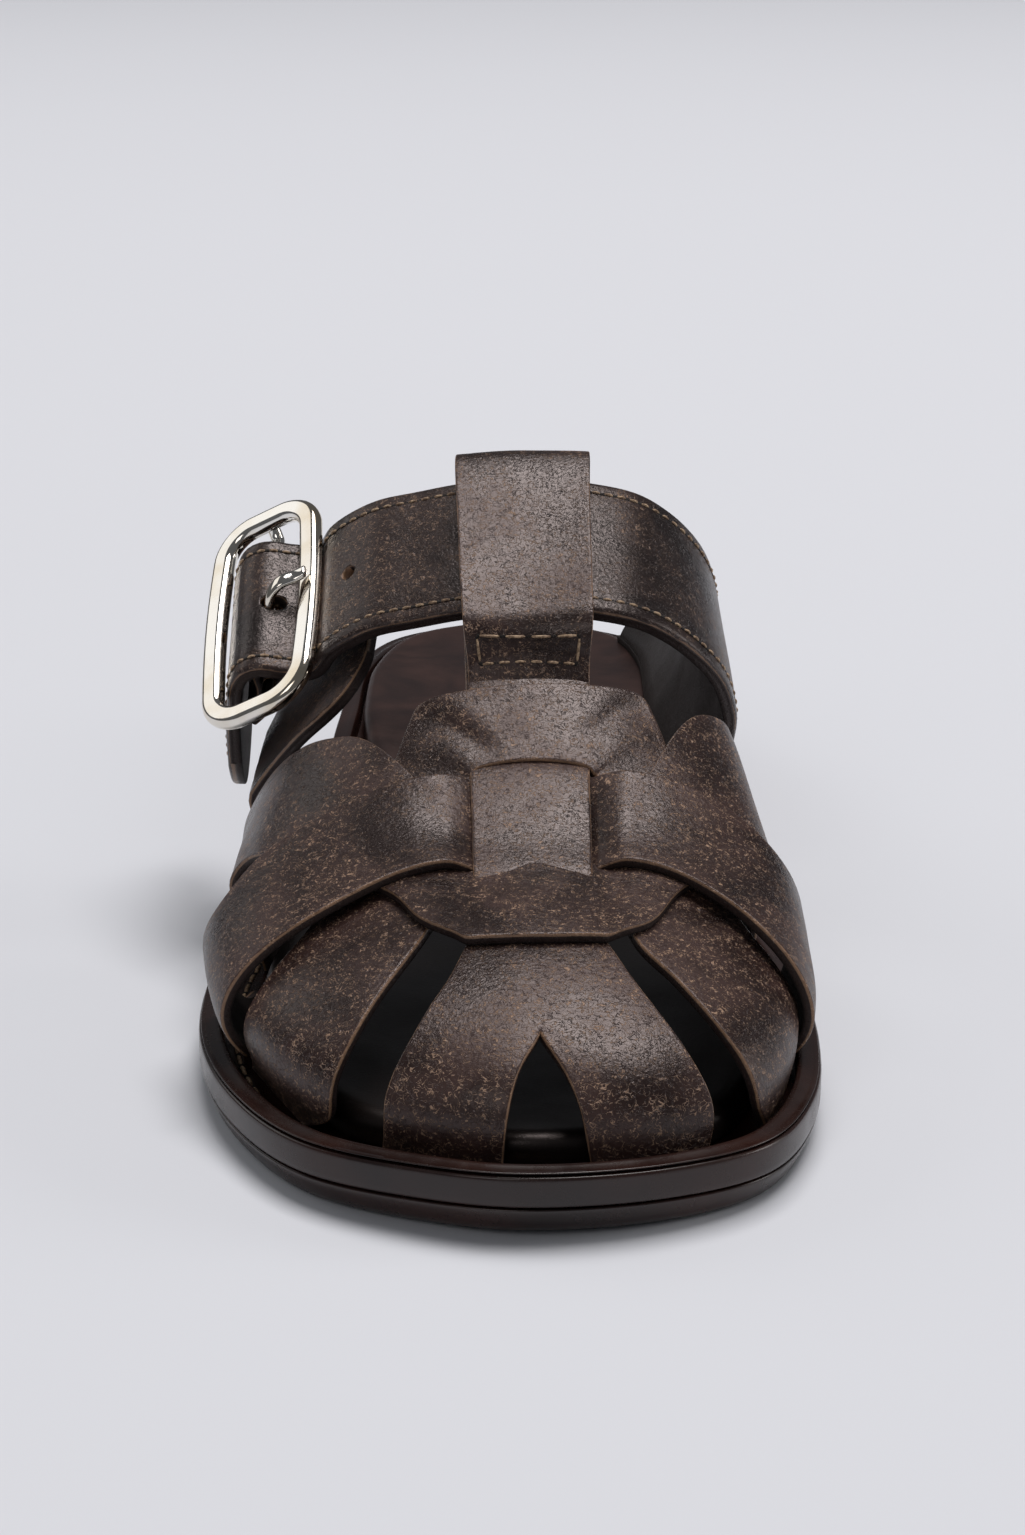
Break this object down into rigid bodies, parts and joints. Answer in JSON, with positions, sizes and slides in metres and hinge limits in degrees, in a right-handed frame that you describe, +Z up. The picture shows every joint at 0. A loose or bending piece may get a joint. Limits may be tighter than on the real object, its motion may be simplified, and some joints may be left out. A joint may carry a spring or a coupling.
{
  "type": "leather clog",
  "caption": "Right-foot leather clog: woven toe straps, a T-strap looped over a buckled instep strap, open back and low sole.",
  "frame": {"origin": "on the floor, under the middle of the shoe's bounding box", "axes": "+Z up, the toe points to -Y, the heel to +Y, +X is the inner side of the foot"},
  "size_m": [0.1103, 0.27, 0.0907],
  "materials": {
    "sole_rubber": "satin, dark brown",
    "footbed_leather": "satin, dark brown",
    "upper_leather": "waxed and rubbed, dark brown with a fine crackle",
    "strap_leather": "waxed and rubbed, dark brown with a fine crackle",
    "polished_steel": "polished"
  },
  "bodies": {
    "root": {"outsole": "sole_rubber", "heel": "sole_rubber", "midsole": "sole_rubber", "rim": "sole_rubber", "footbed": "footbed_leather", "upper": "upper_leather", "instep_strap": "strap_leather", "buckle_strap": "strap_leather", "buckle_chape": "strap_leather", "buckle_frame": "polished_steel", "buckle_prong": "polished_steel"}
  },
  "joints": []
}
